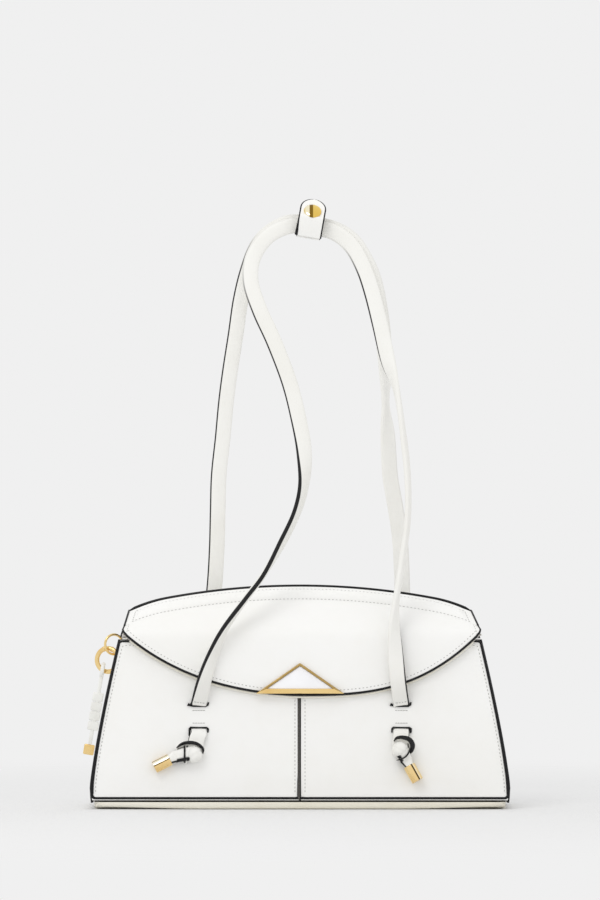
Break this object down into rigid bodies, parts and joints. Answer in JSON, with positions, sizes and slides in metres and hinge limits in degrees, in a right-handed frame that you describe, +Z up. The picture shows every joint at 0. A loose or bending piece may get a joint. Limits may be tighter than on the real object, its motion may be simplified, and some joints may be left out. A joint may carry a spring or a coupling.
{
  "type": "shoulder bag",
  "caption": "White shoulder bag with a flap, two long knotted straps held by a snap keeper, black seam edges and gold trim.",
  "frame": {"origin": "middle of the flat base, on the surface that the bag stands on", "axes": "+Z up, +X to the right as seen from the front, the front with the flap faces -Y"},
  "size_m": [0.3062, 0.09, 0.4378],
  "materials": {
    "white_leather": "smooth, satin",
    "strap_leather": "smooth, satin",
    "black_edge_paint": "gloss",
    "gold_plated_metal": "polished",
    "steel_fittings": "satin",
    "lining_cloth": "matt",
    "stiffening_board": "matt",
    "white_enamel": "gloss",
    "charm_white": "satin"
  },
  "bodies": {
    "bag_body": {"front_panel_left": "white_leather", "front_panel_right": "white_leather", "back_panel": "white_leather", "left_gusset": "white_leather", "right_gusset": "white_leather", "base_panel": "white_leather", "base_board": "stiffening_board", "lining": "lining_cloth", "back_facing": "lining_cloth", "front_seam_edge": "black_edge_paint", "back_seam_edge": "black_edge_paint", "centre_seam_edge": "black_edge_paint", "front_magnet_left": "steel_fittings", "front_magnet_right": "steel_fittings", "front_left_knot": "strap_leather", "front_right_knot": "strap_leather", "back_left_knot": "strap_leather", "back_right_knot": "strap_leather", "ring_tab": "white_leather", "ridge_rim": "white_leather"},
    "flap": {"flap_outer": "white_leather", "flap_core": "stiffening_board", "flap_lining": "lining_cloth", "triangle_frame": "gold_plated_metal", "triangle_inlay": "white_enamel", "triangle_back_plate": "steel_fittings", "flap_magnet_left": "steel_fittings", "flap_magnet_right": "steel_fittings"},
    "front_strap_body": {"front_strap": "strap_leather"},
    "back_strap_body": {"back_strap": "strap_leather", "keeper_band": "white_leather", "snap_stud": "gold_plated_metal", "snap_post": "gold_plated_metal"},
    "keeper_tab_body": {"keeper_tab": "white_leather", "snap_cap": "gold_plated_metal", "snap_socket": "gold_plated_metal"},
    "front_left_tail_body": {"front_left_tail": "strap_leather", "front_left_cap": "gold_plated_metal"},
    "front_right_tail_body": {"front_right_tail": "strap_leather", "front_right_cap": "gold_plated_metal"},
    "back_left_tail_body": {"back_left_tail": "strap_leather", "back_left_cap": "gold_plated_metal"},
    "back_right_tail_body": {"back_right_tail": "strap_leather", "back_right_cap": "gold_plated_metal"},
    "ring_body": {"gusset_ring": "gold_plated_metal"},
    "clasp_body": {"clasp_ring": "gold_plated_metal"},
    "charm_body": {"charm_strand": "charm_white", "charm_end": "gold_plated_metal"}
  },
  "joints": [
    {"name": "flap_hinge", "type": "hinge", "parent": "bag_body", "child": "flap", "pos_m": [0, -0.008, 0.14456], "axis": [-1, 0, 0], "range_deg": [0, 100], "deforming": ["flap_outer", "flap_core", "flap_lining"]},
    {"name": "front_strap_swing", "type": "hinge", "parent": "bag_body", "child": "front_strap_body", "pos_m": [0, -0.03188, 0.07549], "axis": [1, 0, 0], "range_deg": [0, 100]},
    {"name": "back_strap_swing", "type": "hinge", "parent": "bag_body", "child": "back_strap_body", "pos_m": [0, 0.0263, 0.07564], "axis": [-1, 0, 0], "range_deg": [0, 100]},
    {"name": "keeper_tab_turn", "type": "hinge", "parent": "back_strap_body", "child": "keeper_tab_body", "pos_m": [0.0058, -0.00795, 0.40955], "axis": [0.9848, 0, -0.1736], "range_deg": [0, 120]},
    {"name": "front_left_tail_swing", "type": "hinge", "parent": "bag_body", "child": "front_left_tail_body", "pos_m": [-0.09094, -0.03979, 0.03675], "axis": [-0.454, 0.1325, 0.8811], "range_deg": [0, 60]},
    {"name": "front_right_tail_swing", "type": "hinge", "parent": "bag_body", "child": "front_right_tail_body", "pos_m": [0.0769, -0.04031, 0.03333], "axis": [-0.8746, -0.0721, -0.4794], "range_deg": [0, 60]},
    {"name": "back_left_tail_swing", "type": "hinge", "parent": "bag_body", "child": "back_left_tail_body", "pos_m": [-0.08339, 0.03728, 0.03428], "axis": [0.766, 0.135, -0.6285], "range_deg": [0, 60]},
    {"name": "back_right_tail_swing", "type": "hinge", "parent": "bag_body", "child": "back_right_tail_body", "pos_m": [0.08885, 0.03683, 0.03639], "axis": [0.4695, -0.1854, 0.8633], "range_deg": [0, 60]},
    {"name": "ring_swing", "type": "hinge", "parent": "bag_body", "child": "ring_body", "pos_m": [-0.12779, -0.00392, 0.117], "axis": [0, 0, 1], "range_deg": [-25, 0]},
    {"name": "clasp_swing", "type": "hinge", "parent": "ring_body", "child": "clasp_body", "pos_m": [-0.13604, -0.00869, 0.11033], "axis": [-0.8138, -0.4698, 0.342], "range_deg": [-20, 0]},
    {"name": "charm_swing", "type": "hinge", "parent": "clasp_body", "child": "charm_body", "pos_m": [-0.14217, -0.00604, 0.09852], "axis": [-0.8138, 0.2962, 0.5], "range_deg": [0, 40]}
  ]
}
